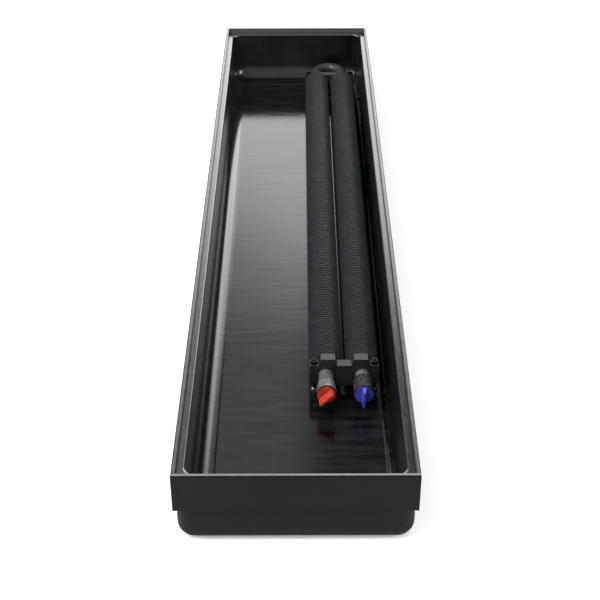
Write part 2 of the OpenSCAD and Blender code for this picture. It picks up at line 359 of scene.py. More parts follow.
join_socket(gloss_sheet, surface, "Base Color",
            blend_colours(gloss_sheet, rolling, [(0.38, "#050506"), (0.66, "#1a1a1b")]))
count_nodes(gloss_sheet)

# %% Moulded shell: black polymer foam with a coarse skin
# Foam that is moulded in a rough tool comes out dull, with a skin of small pits.
rough_shell, surface, places = new_material(
    "moulded_black_foam", **{"Base Color": srgb("#121213"), "Roughness": 0.7,
                             "Specular IOR Level": 0.14})
cloud = noise(rough_shell, places, 16, detail=4, roughness=0.6)
join_socket(rough_shell, surface, "Base Color",
            blend_colours(rough_shell, cloud, [(0.3, "#050506"), (0.7, "#161616")]))
join_socket(rough_shell, surface, "Roughness", spread(rough_shell, cloud, 0.55, 0.8))
pits = noise(rough_shell, places, 2.2, detail=3, roughness=0.65)
under = bump(rough_shell, surface, pits, depth_mm=0.8, strength=0.9)
bump(rough_shell, surface, cloud, depth_mm=0.8, strength=0.4, under=under)
count_nodes(rough_shell)

# %% Anodised aluminium: flat bars, brushed along their length and dyed black
# The dye sits in the oxide, so the bar is dark, yet its edges still shine like metal.
anodised_bar, surface, places = new_material(
    "black_anodised_aluminium", **{"Base Color": srgb("#0f0f10"), "Roughness": 0.4,
                                   "Specular IOR Level": 0.1})
brushing = noise(anodised_bar, places, 1.2, detail=3, stretch_by=(30, 30, 1))
haze = noise(anodised_bar, places, 70, detail=2)
join_socket(anodised_bar, surface, "Base Color",
            blend_colours(anodised_bar, haze, [(0.3, "#090a0a"), (0.7, "#0f0f10")]))
join_socket(anodised_bar, surface, "Roughness", spread(anodised_bar, haze, 0.36, 0.44))
bump(anodised_bar, surface, brushing, depth_mm=0.01, strength=0.4)
count_nodes(anodised_bar)


# %% Milled metal: the bars' tops and the seat, bare under a thin dark film
# The tops are milled flat after dyeing, so they are paler and mirror the sky. The end bars were
# milled across, which blurs what they mirror; the seat is the smoothest.
def milled(name, dark, mid, pale, smoothest, roughest):
    """Milled metal with fine scratches along Y."""
    material, surface, places = new_material(
        name, **{"Base Color": srgb(mid), "Metallic": 1.0, "Roughness": smoothest})
    scratches = noise(material, places, 1.0, stretch_by=(1, 20, 1))
    join_socket(material, surface, "Base Color",
                blend_colours(material, scratches, [(0.35, dark), (0.7, pale)]))
    join_socket(material, surface, "Roughness",
                spread(material, scratches, smoothest, roughest))
    count_nodes(material)
    return material


milled_top = milled("milled_aluminium", "#626263", "#6a6a6b", "#727273", 0.24, 0.34)
milled_end = milled("cross_milled_aluminium", "#7c7c7d", "#868687", "#909091", 0.44, 0.54)
milled_seat = milled("milled_steel", "#575758", "#5f5f60", "#676768", 0.15, 0.22)

# %% Coated fin strip: aluminium strip, dip-coated black
# The dip leaves a thin even film, so hundreds of edges read as one soft, dark grey.
coated_fins, surface, places = new_material(
    "black_coated_fin_strip", **{"Base Color": srgb("#37393c"), "Roughness": 0.42})
dust = noise(coated_fins, places, 9, detail=4)
join_socket(coated_fins, surface, "Base Color",
            blend_colours(coated_fins, dust, [(0.3, "#303335"), (0.7, "#404447")]))
join_socket(coated_fins, surface, "Roughness", spread(coated_fins, dust, 0.38, 0.52))
bump(coated_fins, surface, noise(coated_fins, places, 1.5), depth_mm=0.03, strength=0.4)
count_nodes(coated_fins)

# %% Coated pipe: copper tube, dipped in the same black
# On a smooth tube the coating runs before it dries, which leaves an uneven, satin shine.
coated_pipe, surface, places = new_material(
    "black_coated_pipe", **{"Base Color": srgb("#2c2d2e"), "Roughness": 0.38})
drips = noise(coated_pipe, places, 7, detail=4)
join_socket(coated_pipe, surface, "Base Color",
            blend_colours(coated_pipe, drips, [(0.3, "#262728"), (0.7, "#373838")]))
join_socket(coated_pipe, surface, "Roughness", spread(coated_pipe, drips, 0.3, 0.45))
bump(coated_pipe, surface, drips, depth_mm=0.06, strength=0.4)
count_nodes(coated_pipe)


# %% Turned steel: the connection ends, with the coating rubbed off
# Where the coating is worn the steel is pale and a little smoother, in patches between rings.
def turned_steel(name, dark, mid, pale):
    """Steel whose coating is partly worn away, with the marks of the lathe."""
    material, surface, places = new_material(
        name, **{"Base Color": srgb(mid), "Metallic": 0.6, "Roughness": 0.55})
    wear = noise(material, places, 6, detail=5, roughness=0.65)
    join_socket(material, surface, "Base Color",
                blend_colours(material, wear, [(0.36, dark), (0.5, mid), (0.62, pale)]))
    join_socket(material, surface, "Roughness", spread(material, wear, 0.62, 0.48))
    turning = noise(material, places, 0.5, detail=2, stretch_by=(12, 1, 12))
    under = bump(material, surface, turning, depth_mm=0.02, strength=0.5)
    bump(material, surface, wear, depth_mm=0.05, strength=0.5, under=under)
    count_nodes(material)
    return material


worn_steel = turned_steel("worn_turned_steel", "#5b5a58", "#72716f", "#878683")
# The darker copy, for the return's socket, paints the shade that this socket lies in.
dark_steel = turned_steel("shade_painted_turned_steel", "#23221f", "#363431", "#504d49")

# %% Moulded nylon: the brackets
# Nylon from an etched mould is a very dark grey, with a fine grain that spreads its shine.
bracket_nylon, surface, places = new_material(
    "moulded_black_nylon", **{"Base Color": srgb("#1b1c1d"), "Roughness": 0.45})
mould = noise(bracket_nylon, places, 5, detail=3)
join_socket(bracket_nylon, surface, "Base Color",
            blend_colours(bracket_nylon, mould, [(0.3, "#18191a"), (0.7, "#212224")]))
join_socket(bracket_nylon, surface, "Roughness", spread(bracket_nylon, mould, 0.38, 0.52))
bump(bracket_nylon, surface, noise(bracket_nylon, places, 0.6), depth_mm=0.03, strength=0.4)
count_nodes(bracket_nylon)


# %% Moulded caps: satin polypropylene in the two colours of hot and cold
# A little light goes into this plastic and comes out again, which softens its edges.
def cap_plastic(name, deep, plain, pale):
    """Moulded plastic with a soft shine and slight clouding."""
    material, surface, places = new_material(
        name, **{"Base Color": srgb(plain), "Roughness": 0.38,
                 "Subsurface Weight": 0.05, "Subsurface Scale": 0.002})
    cloud = noise(material, places, 5, detail=3)
    join_socket(material, surface, "Base Color",
                blend_colours(material, cloud, [(0.3, deep), (0.5, plain), (0.7, pale)]))
    join_socket(material, surface, "Roughness", spread(material, cloud, 0.33, 0.45))
    bump(material, surface, noise(material, places, 0.8), depth_mm=0.02, strength=0.4)
    count_nodes(material)
    return material


red_cap_plastic = cap_plastic("red_polypropylene", "#a82c1d", "#b63624", "#c14231")
blue_cap_plastic = cap_plastic("blue_polypropylene", "#373b99", "#4146aa", "#4c51b6")

# %% Blackened steel: the cap-head screws
# Black oxide is only a thin film, so the steel shows through as a dark, soft shine.
black_oxide_steel, surface, places = new_material(
    "black_oxide_steel", **{"Base Color": srgb("#242526"), "Metallic": 1.0, "Roughness": 0.32})
film = noise(black_oxide_steel, places, 2, detail=3)
join_socket(black_oxide_steel, surface, "Base Color",
            blend_colours(black_oxide_steel, film, [(0.3, "#1d1e1f"), (0.7, "#303132")]))
join_socket(black_oxide_steel, surface, "Roughness",
            spread(black_oxide_steel, film, 0.26, 0.4))
count_nodes(black_oxide_steel)

# %% Zinc-plated steel: the hidden cleats and their screws, and the levelling screws' tips
# The plating grows in small crystals, each of which catches the light in its own way.
zinc_steel, surface, places = new_material(
    "zinc_plated_steel", **{"Base Color": srgb("#d6d9dc"), "Metallic": 1.0, "Roughness": 0.4})
spangle = add(zinc_steel, "ShaderNodeTexVoronoi", links={"Vector": places},
              values={"Scale": 1 / (2.5 * MM)}).outputs["Distance"]
join_socket(zinc_steel, surface, "Base Color",
            blend_colours(zinc_steel, spangle, [(0.1, "#cccfd2"), (0.7, "#e2e4e6")]))
join_socket(zinc_steel, surface, "Roughness", spread(zinc_steel, spangle, 0.34, 0.48, 0, 1))
count_nodes(zinc_steel)

# %% Turned brass: the inserts in the brackets' ears
# Brass tarnishes to a duller, browner gold in patches.
insert_brass, surface, places = new_material(
    "turned_brass", **{"Base Color": srgb("#b8923f"), "Metallic": 1.0, "Roughness": 0.3})
tarnish = noise(insert_brass, places, 2, detail=3)
join_socket(insert_brass, surface, "Base Color",
            blend_colours(insert_brass, tarnish, [(0.3, "#a27f33"), (0.7, "#c9a24c")]))
join_socket(insert_brass, surface, "Roughness", spread(insert_brass, tarnish, 0.25, 0.4))
count_nodes(insert_brass)

# %% Moulded rubber: the bushes, seals and pads
# Rubber hardly shines, and a grey bloom comes up on it with age.
black_rubber, surface, places = new_material(
    "moulded_rubber", **{"Base Color": srgb("#191919"), "Roughness": 0.75})
bloom = noise(black_rubber, places, 3, detail=3)
join_socket(black_rubber, surface, "Base Color",
            blend_colours(black_rubber, bloom, [(0.3, "#151515"), (0.7, "#232323")]))
join_socket(black_rubber, surface, "Roughness", spread(black_rubber, bloom, 0.68, 0.85))
bump(black_rubber, surface, noise(black_rubber, places, 0.4), depth_mm=0.02, strength=0.5)
count_nodes(black_rubber)

# %% [markdown]
# ## The tray
# A flat sheet is drawn down in the middle, which leaves a seat round the opening, walls that
# lean out a little and a generous radius at the floor. The same steps work on a plane: inset,
# extrude down, shrink the floor, then bevel. On the open left and far sides the radius is twice
# as large, so its vertices are scaled from the wall's foot. Solidify gives the sheet thickness.

# %% Drawing the tray
tray_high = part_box("tray")[1] / MM
seat_width = 8.8
floor_top = 3.5
wall_lean = 1.15
sheet = 1.5
corner_radius = 14
cove_radius = 12
cove_widening = 2
lip_radius = 4
open_x = tray_high.x - seat_width
open_y = tray_high.y - seat_width
foot_x, foot_y = open_x - wall_lean, open_y - wall_lean
bpy.ops.object.select_all(action="DESELECT")
bpy.ops.mesh.primitive_plane_add(size=1, location=(0, 0, tray_high.z * MM))
bpy.context.object.scale = (2 * tray_high.x * MM, 2 * tray_high.y * MM, 1)
tray = start_editing("drawn_tray")
bpy.ops.mesh.inset(thickness=seat_width * MM)
pull(z=floor_top - tray_high.z)
stretch((foot_x / open_x, foot_y / open_y, 1), (0, 0, floor_top))
print("upright edges:", pick("EDGE", lambda e: runs_along(e, 2)))
round_edges(corner_radius, segments=10)
print("floor edges:", pick("EDGE", lambda e: all(v.co.z < (floor_top + NEAR) * MM
                                                   for v in e.verts)))
round_edges(cove_radius, segments=9)

# %% Widening the coves, and rounding the lip
corner_reach = corner_radius + NEAR
wide_reach = corner_reach * cove_widening


def in_cove(v):
    """Whether a vertex belongs to the floor's rounded edge, before it is widened."""
    return v.co.z < (floor_top + cove_radius + NEAR) * MM


pick("VERT", lambda v: in_cove(v) and v.co.x < (corner_reach - foot_x) * MM)
stretch((cove_widening, 1, 1), (-foot_x, 0, 0))
pick("VERT", lambda v: in_cove(v) and v.co.y > (foot_y - corner_reach) * MM)
stretch((1, cove_widening, 1), (0, foot_y, 0))
pick("VERT", lambda v: in_cove(v) and (v.co.x < (wide_reach - foot_x) * MM
                                       or v.co.y > (foot_y - wide_reach) * MM))
stretch((1, 1, cove_widening), (0, 0, floor_top))
print("rim edges:", pick("EDGE", lambda e: e.calc_face_angle(0) > 1
                         and middle(e).z > tray_high.z - NEAR))
round_edges(lip_radius, segments=5)
stop_editing(outwards=False)
apply(tray, "SOLIDIFY", thickness=sheet * MM, offset=-1)
smooth(tray)
dress(tray, gloss_sheet, "trough", "tray")
tray.data.materials.append(milled_seat)
for face in tray.data.polygons:
    if face.normal.z > 0.5 and face.center.z > (tray_high.z - lip_radius) * MM:
        face.material_index = 1

# %% [markdown]
# ## The shell
# The tray sits in a moulded shell. Below the frame it is rounded at its corners and along its
# lower edge; behind the frame a narrower block rises to carry the tray's seat. One block that
# is inset and extruded, up for the narrow part and down for the cavity, keeps it one skin.

# %% Moulding the shell
shell_low, shell_high = (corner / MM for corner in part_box("insulating_shell"))
bar_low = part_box("frame_bar_left")[0].z / MM
step_in = 4.8
wall = 5
shell_top = 84.5
cavity_floor = 1.8
shell_corner, shell_foot, cavity_edge = 20, 15, 9  # radii
shell = block("moulded_shell", shell_low, (shell_high.x, shell_high.y, bar_low))
pick("EDGE", lambda e: runs_along(e, 2))
round_edges(shell_corner, segments=10)
pick("EDGE", lambda e: all(v.co.z < NEAR * MM for v in e.verts))
round_edges(shell_foot, segments=9)
pick("FACE", lambda f: f.normal.z > 0.9)
bpy.ops.mesh.inset(thickness=step_in * MM)
pull(z=shell_top - bar_low)
pick("FACE", lambda f: f.normal.z > 0.9 and middle(f).z > shell_top - NEAR)
bpy.ops.mesh.inset(thickness=wall * MM)
pull(z=cavity_floor - shell_top)
print("cavity floor edges:", pick("EDGE", lambda e: all(
    abs(v.co.z / MM - cavity_floor) < NEAR for v in e.verts)))
round_edges(cavity_edge, segments=6)
stop_editing()
soften(shell, 0.4)
smooth(shell)
dress(shell, rough_shell, "trough", "insulating_shell")

# %% [markdown]
# ## The frame
# Four flat bars stand round the trough. Each end bar has a thin lap along its top that runs
# over the side bars' ends, so the seam at the corner is a short level line. One ring would be
# quicker, but it would have no seams. The outer top edge has a narrow bevel that catches the
# light, and the tops are paler than the sides.

# %% Sizes of the bars
bar = 4.5
lap = 3.5
outer_bevel = 1.2
half_x, half_y, top = (size / MM for size in cad_box[1])
print("bars stand", round(top - bar_low, 1), "mm high")


# %% Finishing a bar
def finish_bar(piece, node, finish):
    """Bevels and dresses a bar: dark outside, and a milled top and inner face."""
    round_edges(outer_bevel, segments=1)
    stop_editing()
    soften(piece, 0.25)
    smooth(piece)
    dress(piece, anodised_bar, "trough", node)
    piece.data.materials.append(finish)
    far_out = 80 * MM  # nearer the middle than any face that looks at it
    for face in piece.data.polygons:
        inwards = face.normal.x * face.center.x + face.normal.y * face.center.y < -far_out
        upper = face.normal.z > 0.9 and face.center.z > (tray_high.z - 0.5) * MM
        if upper or inwards:
            face.material_index = 1


# %% The end bars
for name, side in (("front", -1), ("rear", 1)):
    face_y = [side * half_y, side * (half_y - bar)]
    piece = block(f"{name}_end_bar", (-half_x + bar, min(face_y), bar_low),
                  (half_x - bar, max(face_y), top - lap))
    pick("FACE", lambda f: f.normal.z > 0.9)
    pull(z=lap)
    for way in (-1, 1):
        pick("FACE", lambda f: f.normal.x * way > 0.9 and middle(f).z > top - lap)
        pull(x=way * bar)
    pick("EDGE", lambda e: runs_along(e, 0) and middle(e).z > top - NEAR
         and abs(middle(e).y) > half_y - NEAR)
    finish_bar(piece, f"frame_bar_{name}", milled_end)

# %% The side bars
for name, side in (("left", -1), ("right", 1)):
    face_x = [side * half_x, side * (half_x - bar)]
    piece = block(f"{name}_side_bar", (min(face_x), -half_y + bar, bar_low),
                  (max(face_x), half_y - bar, top - lap))
    pick("FACE", lambda f: f.normal.z > 0.9)
    pull(z=lap)
    for way in (-1, 1):
        pick("FACE", lambda f: f.normal.y * way > 0.9 and middle(f).z < top - lap)
        pull(y=way * bar)
    pick("EDGE", lambda e: runs_along(e, 1) and middle(e).z > top - NEAR
         and abs(middle(e).x) > half_x - NEAR)
    finish_bar(piece, f"frame_bar_{name}", milled_top)

# %% [markdown]
# ## The fins
# A thin strip is wound on edge round each tube, one turn every 4.3 mm. The Screw modifier does
# just that: the strip's own section is turned round the tube and moved along it as it goes.

# %% Winding a strip
fin_low, fin_high = (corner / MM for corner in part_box("supply_fins"))
tube_z = (fin_low.z + fin_high.z) / 2
supply_x = (fin_low.x + fin_high.x) / 2
return_x = (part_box("return_fins")[0].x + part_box("return_fins")[1].x) / 2 / MM
fin_radius = (fin_high.x - fin_low.x) / 2
root_radius = 9.05
strip = 0.5
strip_edge = 0.15
turns = 203
pitch = (fin_high.y - fin_low.y - strip) / turns
sides_a_turn = 30
print("one turn every", round(pitch, 2), "mm")


def wind_fins(name, x, node):
    """A strip wound on edge round a tube at x."""
    bpy.ops.object.select_all(action="DESELECT")
    bpy.ops.mesh.primitive_plane_add(size=1)
    piece = bpy.context.object
    piece.scale = ((fin_radius - root_radius) * MM, strip * MM, 1)
    piece.location = ((fin_radius + root_radius) / 2 * MM, (fin_low.y + strip / 2) * MM, 0)
    start_editing(name)
    pick("EDGE", lambda e: middle(e).x > fin_radius - NEAR)
    round_edges(strip_edge, segments=1)
    pick("FACE", lambda f: True)
    bpy.ops.mesh.delete(type="ONLY_FACE")
    bpy.ops.object.mode_set(mode="OBJECT")
    apply(piece, "SCREW", axis="Y", angle=2 * math.pi, screw_offset=pitch * MM,
          iterations=turns, steps=sides_a_turn, render_steps=sides_a_turn)
    bpy.ops.object.mode_set(mode="EDIT")
    select_open_edges()
    bpy.ops.mesh.edge_face_add()
    stop_editing()
    piece.location = (x * MM, 0, tube_z * MM)
    only(piece)
    bpy.ops.object.transform_apply(location=True, rotation=True, scale=True)
    smooth(piece, 30, weighted=False)
    dress(piece, coated_fins, "exchanger", node)


wind_fins("supply_fin_strip", supply_x, "supply_fins")
wind_fins("return_fin_strip", return_x, "return_fins")

# %% [markdown]
# ## Pipes and the return bend
# The pipes run from the connection ends to a U bend at the far end. A curve with a round
# section would do for the bend, but a ring of vertices that is spun half a turn round the middle
# between the two tubes meets them exactly. Solidify gives both their wall.

# %% Straight pipes
pipe_low, pipe_high = (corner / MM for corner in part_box("supply_pipe"))
pipe_radius = (pipe_high.x - pipe_low.x) / 2
tube_wall = 1
bare_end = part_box("front_bracket")[0].y / MM + 1  # just inside the near bracket
for name, x in (("supply", supply_x), ("return", return_x)):
    piece = drum(f"{name}_tube", (x, (pipe_low.y + pipe_high.y) / 2, tube_z), pipe_radius,
                 pipe_high.y - pipe_low.y)
    pick("FACE", lambda f: abs(f.normal.y) > 0.9)
    bpy.ops.mesh.delete(type="ONLY_FACE")
    bpy.ops.mesh.select_all(action="SELECT")
    bpy.ops.mesh.bisect(plane_co=(0, bare_end * MM, 0), plane_no=(0, 1, 0))
    stop_editing(outwards=False)
    apply(piece, "SOLIDIFY", thickness=tube_wall * MM, offset=-1)
    smooth(piece)
    dress(piece, coated_pipe, "exchanger", f"{name}_pipe")
    piece.data.materials.append(worn_steel)
    for face in piece.data.polygons:
        face.material_index = int(face.center.y < bare_end * MM)

# %% The U bend
bend_x = (supply_x + return_x) / 2
bpy.ops.object.select_all(action="DESELECT")
bpy.ops.mesh.primitive_circle_add(
    vertices=40, radius=pipe_radius * MM, rotation=(math.pi / 2, 0, 0),
    location=(return_x * MM, pipe_high.y * MM, tube_z * MM))
bend = start_editing("u_bend_tube")
bpy.ops.mesh.spin(steps=36, angle=-math.pi, axis=(0, 0, 1),
                  center=(bend_x * MM, pipe_high.y * MM, tube_z * MM))
bpy.ops.mesh.select_all(action="SELECT")
bpy.ops.mesh.remove_doubles(threshold=0.01 * MM)
bpy.ops.mesh.normals_make_consistent(inside=False)
bpy.ops.object.mode_set(mode="OBJECT")
print("bend reaches y =", round(max(v.co.y for v in bend.data.vertices) / MM, 1))
apply(bend, "SOLIDIFY", thickness=tube_wall * MM, offset=-1)
smooth(bend)
dress(bend, coated_pipe, "exchanger", "return_bend")

# %% [markdown]
# ## Brackets
# A moulded bridge carries the two tubes at each end, with an ear at each side for a levelling
# screw. The near one has a hump over each tube, and the far one is low and flat. Each starts as
# a block that is cut into strips, so that humps can be pulled up and the belly down.

# %% Moulding a bracket
web_top = tube_z + 13.7
hump_top = tube_z + 23
belly = tube_z - 16.3
ear_low = tube_z - 13
web_x, hump_x, ear_x = 9, 31.5, 43
hump_narrows, belly_narrows = 4, 2  # a hump's top in all, the belly at each side
hump_edge, ear_edge = 1.6, 1.5  # radii
screw_x = 37.3
bore_radius, hole_radius = 10.5, 3.7
print("the bridge is", 2 * ear_x, "mm wide")


def mould_bracket(name, node, humps):
    """A bracket with its two bores and two screw holes."""
    low, high = (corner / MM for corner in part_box(node))
    piece = block(name, (low.x, low.y, ear_low), (high.x, high.y, web_top))
    for x in (-hump_x, -web_x, web_x, hump_x):
        bpy.ops.mesh.select_all(action="SELECT")
        bpy.ops.mesh.bisect(plane_co=((bend_x + x) * MM, 0, 0), plane_no=(1, 0, 0))
    hump_width = hump_x - web_x
    for side in (-1, 1) if humps else ():
        hump = bend_x + side * (web_x + hump_x) / 2
        pick("FACE", lambda f: f.normal.z > 0.9 and abs(middle(f).x - hump) < 2)
        pull(z=hump_top - web_top)
        stretch(((hump_width - hump_narrows) / hump_width, 1, 1), (hump, 0, hump_top))
    pick("FACE", lambda f: f.normal.z < -0.9 and abs(middle(f).x - bend_x) < hump_x)
    pull(z=belly - ear_low)
    stretch(((hump_x - belly_narrows) / hump_x, 1, 1), (bend_x, 0, belly))
    pick("EDGE", lambda e: runs_along(e, 1) and middle(e).z > hump_top - NEAR)
    round_edges(hump_edge, segments=3)
    pick("EDGE", lambda e: runs_along(e, 1) and abs(middle(e).x - bend_x) > ear_x - NEAR)
    round_edges(ear_edge, segments=3)
    stop_editing()
    middle_y = (low.y + high.y) / 2
    for x in (supply_x, return_x):
        bore = drum("bore", (x, middle_y, tube_z), bore_radius, length=30, sides=64)
        stop_editing()
        cut_with(piece, bore)
    for side in (-1, 1):
        hole = drum("hole", (bend_x + side * screw_x, middle_y, tube_z), hole_radius,
                    length=60, axis="Z", sides=40)
        stop_editing()
        cut_with(piece, hole)
    soften(piece, 0.5)
    smooth(piece)
    dress(piece, bracket_nylon, "exchanger", node)


mould_bracket("near_bracket_body", "front_bracket", humps=True)
mould_bracket("far_bracket_body", "rear_bracket", humps=False)

# %% [markdown]
# ## Connection ends
# Each pipe ends in a thicker steel socket that takes a half-inch thread. It is turned from bar,
# so it starts as a drum. Its mouth is inset and pushed in twice, for the thread and for the
# pipe's bore, and its far end narrows to the pipe: slowly on the supply, sharply on the return.

# %% Turning the sockets
rim, thread_depth = 1.7, 14
shoulder, bore_depth = 1.3, 9.9
neck = 0.79  # the far end's width, as a share of the socket's
far_rim = 0.3
# The return's socket takes the darker copy, whose colour paints shade on it.
for name, x, finish, slot, taper in (("supply", supply_x, worn_steel, "worn_steel", 18),
                                     ("return", return_x, dark_steel, "dark_steel", 1.2)):
    low, high = (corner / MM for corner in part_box(f"{name}_socket"))
    centre = (x, (low.y + high.y) / 2, tube_z)
    piece = drum(f"{name}_end_fitting", centre, (high.x - low.x) / 2, high.y - low.y, sides=64)
    pick("FACE", lambda f: f.normal.y < -0.9)
    bpy.ops.mesh.inset(thickness=rim * MM)
    pull(y=thread_depth)
    bpy.ops.mesh.inset(thickness=shoulder * MM)
    pull(y=bore_depth)
    bpy.ops.mesh.delete(type="FACE")
    bpy.ops.mesh.select_all(action="SELECT")
    bpy.ops.mesh.bisect(plane_co=(0, (high.y - taper) * MM, 0), plane_no=(0, 1, 0))
    pick("FACE", lambda f: f.normal.y > 0.9 and middle(f).y > high.y - NEAR)
    stretch((neck, 1, neck), (x, high.y, tube_z))
    bpy.ops.mesh.inset(thickness=far_rim * MM)
    bpy.ops.mesh.delete(type="FACE")
    select_open_edges()
    bpy.ops.mesh.bridge_edge_loops()
    stop_editing()
    soften(piece, 0.7)
    smooth(piece)
    dress(piece, finish, "exchanger", f"{name}_socket")

# %% [markdown]
# ## Caps
# A red and a blue cap close the two ends until the heater is piped up. Each has a round flange
# that narrows towards its seal, a wing across it for thumb and finger, and a hollow stem. The
# flange and the stem are one drum, and a Boolean makes the wing one skin with them.

# %% Moulding a cap
wing_turns = {"supply": 44, "return": 2}
flange, flange_radius = 3.5, 11.4
back_width = 0.87  # the flange's width at its seal, as a share of its width in front
wing_root, wing_tip, wing_reach = 5, 2.2, 11
wing_start, wing_end = 14.5, 2.9  # how far before the flange's back
stem_step, stem_wall = 1.5, 2


def mould_cap(name, x, node, turn):
    """A cap: flange, wing and stem, made one skin."""
    low, high = (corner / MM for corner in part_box(node))
    flange_back = low.y + wing_start
    piece = drum(name, (x, flange_back - flange / 2, tube_z), flange_radius, flange, sides=64)
    pick("FACE", lambda f: f.normal.y > 0.9)
    stretch((back_width, 1, back_width), (x, flange_back, tube_z))
    bpy.ops.mesh.inset(thickness=stem_step * MM)
    pull(y=high.y - flange_back)
    bpy.ops.mesh.inset(thickness=stem_wall * MM)
    pull(y=flange_back - high.y)
    stop_editing()
    wing = block("wing", (x - wing_root / 2, low.y, tube_z - wing_reach),
                 (x + wing_root / 2, flange_back - wing_end, tube_z + wing_reach))
    pick("FACE", lambda f: f.normal.y < -0.9)
    stretch((wing_tip / wing_root, 1, 1), (x, low.y, tube_z))
    bpy.ops.mesh.select_all(action="SELECT")
    bpy.ops.transform.rotate(value=math.radians(-turn), orient_axis="Y",
                             center_override=(x * MM, 0, tube_z * MM))
    stop_editing()
    add_to(piece, wing)
    soften(piece, 0.45, segments=3)
    smooth(piece)
    return piece


for name, x, finish, slot in (("supply", supply_x, red_cap_plastic, "red_plug"),
                              ("return", return_x, blue_cap_plastic, "blue_plug")):
    piece = mould_cap(f"{name}_cap", x, f"{name}_plug", wing_turns[name])
    dress(piece, finish, f"{name}_plug_body", f"{name}_plug")

# %% [markdown]
# ## Levelling screws
# Four socket-head screws stand in the brackets' ears and carry the exchanger. The head is a
# drum with a hexagon pressed into it, and the thread is a small wedge wound up the shank. A bump
# pattern would be lighter, but it would leave the screw's outline smooth. One screw is made and
# then copied.

# %% Turning the head and the shank
first_low, first_high = (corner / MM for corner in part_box("front_left_screw"))
screw_middle = ((first_low.x + first_high.x) / 2, (first_low.y + first_high.y) / 2)
bottom = first_low.z
head, head_radius = 4.2, 4.25
head_base = first_high.z - head
key_radius, key_depth = 2.31, 2.5
shank_radius, into_head = 2.05, 0.1
screw_edge = 0.5


def turn_blank(name):
    """A socket-head screw without its thread, at the first ear."""
    x, y = screw_middle
    piece = drum(name, (x, y, head_base + head / 2), head_radius, head, axis="Z")
    pick("EDGE", lambda e: middle(e).z > first_high.z - NEAR)
    round_edges(screw_edge, segments=2)
    stop_editing()
    key = drum("key", (x, y, first_high.z), key_radius, 2 * key_depth, axis="Z", sides=6)
    stop_editing()
    cut_with(piece, key)
    shank = drum("shank", (x, y, (head_base + bottom) / 2 + into_head), shank_radius,
                 head_base - bottom + into_head, axis="Z", sides=24)
    pick("EDGE", lambda e: middle(e).z < bottom + 0.2 and not runs_along(e, 2))
    round_edges(screw_edge, segments=2)
    stop_editing()
    add_to(piece, shank)
    return piece


# %% Winding the thread
thread_pitch = 0.8
thread_root, thread_crest = 1.9, 2.5
root_width = 0.72
crest_width = 0.15  # as a share of the root's
thread_start, thread_short = 1.4, 2  # above the tip, and less than the shank


def wind_thread():
    """A wedge wound up the shank, its ends closed."""
    bpy.ops.object.select_all(action="DESELECT")
    bpy.ops.mesh.primitive_plane_add(size=1)
    thread = bpy.context.object
    thread.rotation_euler = (math.pi / 2, 0, 0)
    thread.location = ((thread_root + thread_crest) / 2 * MM, 0, 0)
    thread.scale = ((thread_crest - thread_root) * MM, root_width * MM, 1)
    start_editing("thread")
    pick("EDGE", lambda e: middle(e).x > thread_crest - NEAR)
    stretch((1, 1, crest_width), (thread_crest, 0, 0))
    pick("FACE", lambda f: True)
    bpy.ops.mesh.delete(type="ONLY_FACE")
    bpy.ops.object.mode_set(mode="OBJECT")
    rounds = int((head_base - bottom - thread_short) / thread_pitch)
    apply(thread, "SCREW", axis="Z", angle=2 * math.pi, screw_offset=thread_pitch * MM,
          iterations=rounds, steps=16, render_steps=16)
    bpy.ops.object.mode_set(mode="EDIT")
    select_open_edges()
    bpy.ops.mesh.edge_face_add()
    stop_editing()
    thread.location = [c * MM for c in (*screw_middle, bottom + thread_start)]
    bpy.ops.object.transform_apply(location=True, rotation=True, scale=True)
    print("thread turns:", rounds)
    return thread


first_screw = turn_blank("front_left_cap_screw")
thread = wind_thread()
only(first_screw)
thread.select_set(True)
bpy.ops.object.join()
smooth(first_screw, 30)

# %% Four screws, black with a bright tip
screws = {"front_left": first_screw}
for node in ("front_right", "rear_left", "rear_right"):
    low, high = (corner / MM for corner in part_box(f"{node}_screw"))
    shift = ((low.x + high.x) / 2 - screw_middle[0], (low.y + high.y) / 2 - screw_middle[1], 0)
    screws[node] = another(first_screw, f"{node}_cap_screw", shift)
shank_bare = bottom + 4.5
for node, piece in screws.items():
    dress(piece, black_oxide_steel, f"{node}_levelling_screw", f"{node}_screw")
    piece.data.materials.append(zinc_steel)
    for face in piece.data.polygons:
        face.material_index = int(face.center.z < shank_bare * MM)

# %% [markdown]
# ## Pieces that stay as they are
# The cleats, bushes, inserts, seals and pads are hidden or nearly so, and their CAD shape is
# right. They keep it and only get their finish.

# %% Dressing the frame's own nodes
kept = {"corner_cleats": zinc_steel, "cleat_screws": zinc_steel, "pipe_bushes": black_rubber,
        "ear_inserts": insert_brass, "supply_seal": black_rubber, "return_seal": black_rubber}
kept.update({f"{node}_pad": black_rubber for node in screws})
for node, finish in kept.items():
    mesh = frame["nodes"][node].data
    mesh.materials.clear()
    mesh.materials.append(finish)
print("kept from the frame:", ", ".join(kept))

# %% [markdown]
# ## Floor, light and camera
# The heater stands on a plain pale floor that glows a little. A broad light from the upper left
# shapes the caps. All else is mirrored from the room: the glossy tray shows a low, wide panel
# beyond the far end, and a brighter one to its right draws the tray's lip and cove. The panels
# could be lamps, but painted on the room they light softly and never show in the view.

# %% The floor
bpy.ops.object.select_all(action="DESELECT")
bpy.ops.mesh.primitive_plane_add(size=60, location=(0, 0, -0.5 * MM))
floor = bpy.context.object
floor.name = "studio_floor"
paper, surface, places = new_material(
    "matt_white_paper", **{"Base Color": srgb("#f4f4f4"), "Roughness": 0.9,
                           "Specular IOR Level": 0.1, "Emission Color": srgb("#ffffff"),
                           "Emission Strength": 0.25})
fibres = noise(paper, places, 4, detail=3)
join_socket(paper, surface, "Base Color",
            blend_colours(paper, fibres, [(0.3, "#f2f2f2"), (0.7, "#f7f7f7")]))
floor.data.materials.append(paper)
count_nodes(paper)

